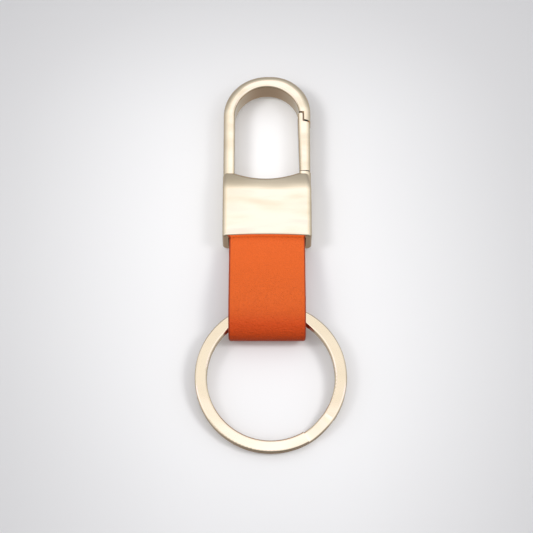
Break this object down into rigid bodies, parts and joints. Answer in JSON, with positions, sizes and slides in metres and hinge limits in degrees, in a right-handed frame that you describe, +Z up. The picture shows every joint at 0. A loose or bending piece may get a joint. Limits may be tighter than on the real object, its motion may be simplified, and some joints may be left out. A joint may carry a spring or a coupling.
{
  "type": "carabiner keyring",
  "caption": "Snap hook with a spring gate, a leather strap loop and a flat split ring for keys.",
  "frame": {"origin": "centre of the block's flat back face, which rests on the surface", "axes": "+Y along the keyring towards the top of the hook, +X towards the gate, +Z up, away from the surface it lies on"},
  "size_m": [0.03, 0.0803, 0.0087],
  "materials": {
    "gold_metal": "polished, pale champagne-gold plating on zinc casting",
    "ring_metal": "polished, pale champagne-gold plating on steel wire",
    "steel": "plain ground steel pins and spring",
    "leather": "orange fine-grained leather, satin",
    "lining": "thin orange lining leather, matt"
  },
  "bodies": {
    "hook": {"hook_frame": "gold_metal", "gate_pin": "steel", "gate_spring": "steel", "strap_tails": "leather", "strap_spacer": "lining", "strap_pins": "steel"},
    "gate": {"gate": "gold_metal"},
    "strap": {"strap_leather": "leather", "strap_lining": "lining"},
    "ring": {"split_ring": "ring_metal"}
  },
  "joints": [
    {"name": "gate_hinge", "type": "hinge", "parent": "hook", "child": "gate", "pos_m": [0.0072, 0.0042, 0.00355], "axis": [0, 0, 1], "range_deg": [0, 22], "stiffness_Nm_per_rad": 0.004, "springref_deg": -14.32, "deforming": ["gate_spring"]},
    {"name": "strap_flex", "type": "hinge", "parent": "hook", "child": "strap", "pos_m": [0, -0.0079, 0.00355], "axis": [1, 0, 0], "range_deg": [-33, 33], "stiffness_Nm_per_rad": 0.002},
    {"name": "ring_swing", "type": "hinge", "parent": "strap", "child": "ring", "pos_m": [0, -0.02382, 0.00435], "axis": [1, 0, 0], "range_deg": [-120, 120]}
  ]
}
